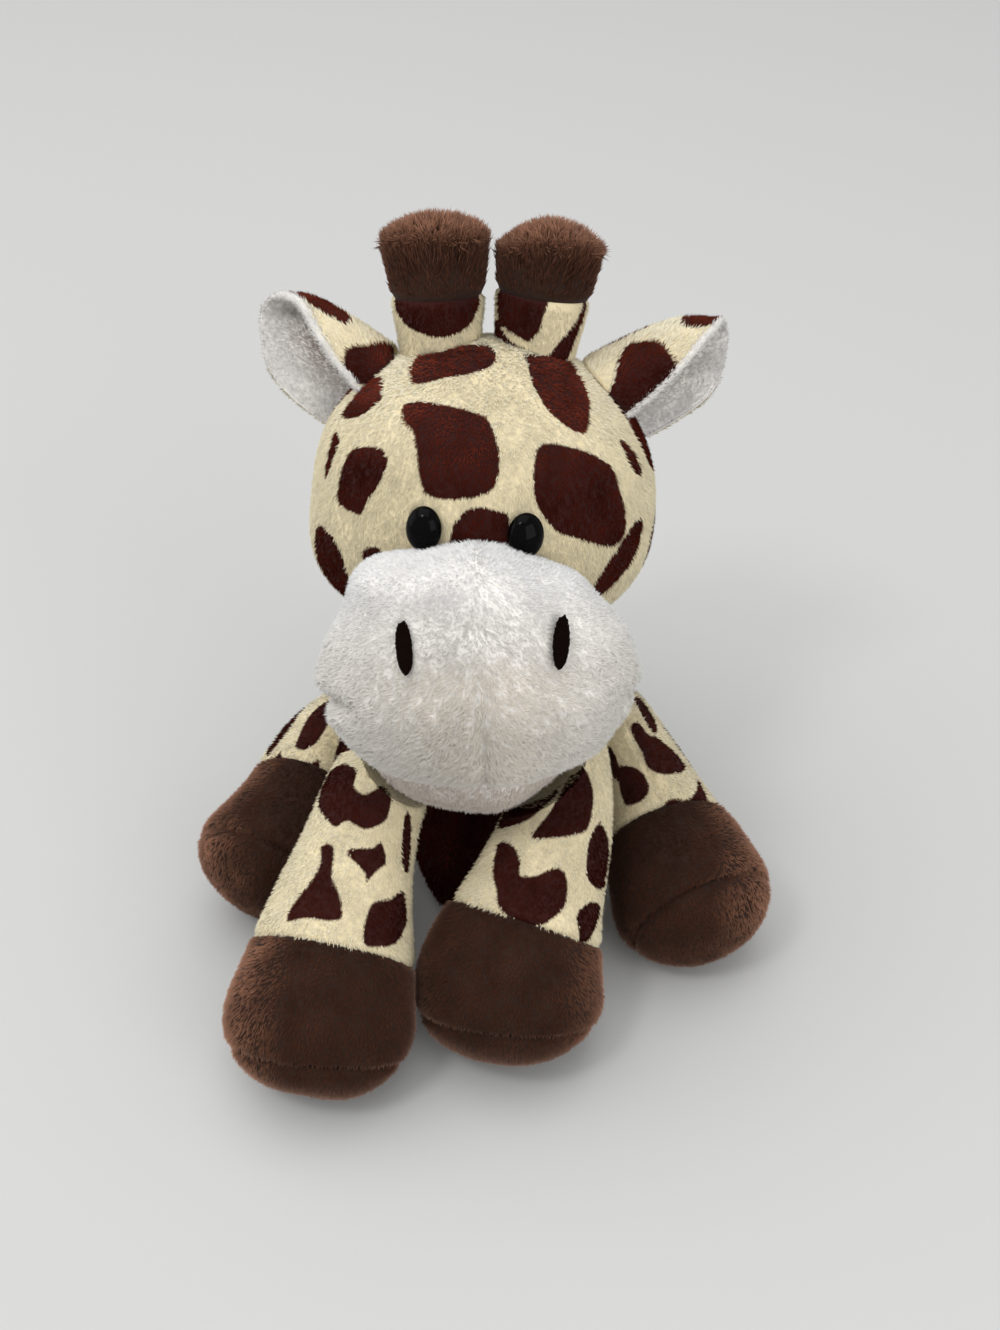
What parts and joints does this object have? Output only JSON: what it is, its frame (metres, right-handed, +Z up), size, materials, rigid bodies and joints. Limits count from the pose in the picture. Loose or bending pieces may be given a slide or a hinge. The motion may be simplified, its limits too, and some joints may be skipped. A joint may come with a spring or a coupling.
{
  "type": "plush giraffe",
  "caption": "Small sitting plush giraffe with a ball of a head, a broad white muzzle, stub horns, folded ears, a printed body and brown hooves; legs, head, ears and tail move.",
  "frame": {"origin": "middle of the bounding box, on the surface that the toy sits on", "axes": "+Z up; the toy faces -Y, so +X is to its own left"},
  "size_m": [0.1472, 0.1672, 0.17],
  "materials": {
    "printed_plush": "short cream pile printed with dark red-brown patches",
    "brown_plush": "dark brown pile, short on the hooves and long on the horns, mane and tuft",
    "white_plush": "short white pile",
    "stuffing": "loose white fibre",
    "pellets": "small pale plastic pellets in a bag",
    "eye_plastic": "polished black",
    "washer_plastic": "moulded white",
    "thread": "dark brown satin stitching"
  },
  "bodies": {
    "torso": {"torso_skin": "printed_plush", "torso_stuffing": "stuffing", "seat_pellet_bag": "pellets"},
    "head": {"head_skin": "printed_plush", "head_stuffing": "stuffing", "muzzle_skin": "white_plush", "muzzle_stuffing": "stuffing", "chin_skin": "white_plush", "chin_stuffing": "stuffing", "left_eye": "eye_plastic", "left_eye_washer": "washer_plastic", "left_nostril": "thread", "right_eye": "eye_plastic", "right_eye_washer": "washer_plastic", "right_nostril": "thread", "left_horn_stem": "printed_plush", "left_horn_cap": "brown_plush", "left_horn_stuffing": "stuffing", "right_horn_stem": "printed_plush", "right_horn_cap": "brown_plush", "right_horn_stuffing": "stuffing", "mane": "brown_plush"},
    "left_ear": {"left_ear_back": "printed_plush", "left_ear_lining": "white_plush"},
    "right_ear": {"right_ear_back": "printed_plush", "right_ear_lining": "white_plush"},
    "front_left_leg": {"front_left_leg_skin": "printed_plush", "front_left_hoof_skin": "brown_plush", "front_left_hoof_sole": "brown_plush", "front_left_leg_stuffing": "stuffing", "front_left_hoof_pellets": "pellets"},
    "front_right_leg": {"front_right_leg_skin": "printed_plush", "front_right_hoof_skin": "brown_plush", "front_right_hoof_sole": "brown_plush", "front_right_leg_stuffing": "stuffing", "front_right_hoof_pellets": "pellets"},
    "hind_left_leg": {"hind_left_leg_skin": "printed_plush", "hind_left_hoof_skin": "brown_plush", "hind_left_hoof_sole": "brown_plush", "hind_left_leg_stuffing": "stuffing", "hind_left_hoof_pellets": "pellets"},
    "hind_right_leg": {"hind_right_leg_skin": "printed_plush", "hind_right_hoof_skin": "brown_plush", "hind_right_hoof_sole": "brown_plush", "hind_right_leg_stuffing": "stuffing", "hind_right_hoof_pellets": "pellets"},
    "tail": {"tail": "printed_plush", "tail_tuft": "brown_plush"}
  },
  "joints": [
    {"name": "head_nod", "type": "hinge", "parent": "torso", "child": "head", "pos_m": [-0.00079, 0.02322, 0.07339], "axis": [1, 0, 0], "range_deg": [-12, 5]},
    {"name": "left_ear_flap", "type": "hinge", "parent": "head", "child": "left_ear", "pos_m": [0.02277, 0.03669, 0.11982], "axis": [0, 0.9659, -0.2588], "range_deg": [-4, 14], "stiffness_Nm_per_rad": 0.02, "springref_deg": -0.74},
    {"name": "right_ear_flap", "type": "hinge", "parent": "head", "child": "right_ear", "pos_m": [-0.01917, 0.03726, 0.12194], "axis": [0, -0.9659, 0.2588], "range_deg": [-4, 14], "stiffness_Nm_per_rad": 0.02, "springref_deg": -0.74},
    {"name": "front_left_leg_lift", "type": "hinge", "parent": "torso", "child": "front_left_leg", "pos_m": [0.01821, -0.00117, 0.05376], "axis": [-0.9822, 0.1879, 0], "range_deg": [0, 14]},
    {"name": "front_right_leg_lift", "type": "hinge", "parent": "torso", "child": "front_right_leg", "pos_m": [-0.01827, -0.00117, 0.05376], "axis": [-0.9581, 0.2866, 0], "range_deg": [0, 14]},
    {"name": "hind_left_leg_lift", "type": "hinge", "parent": "torso", "child": "hind_left_leg", "pos_m": [0.03293, 0.03365, 0.03024], "axis": [-0.6047, -0.218, 0.766], "range_deg": [0, 14]},
    {"name": "hind_right_leg_lift", "type": "hinge", "parent": "torso", "child": "hind_right_leg", "pos_m": [-0.03107, 0.03487, 0.03024], "axis": [-0.5811, 0.2749, -0.766], "range_deg": [0, 14]},
    {"name": "tail_lift", "type": "hinge", "parent": "torso", "child": "tail", "pos_m": [0.00093, 0.05737, 0.0454], "axis": [1, 0, 0], "range_deg": [0, 30]}
  ]
}
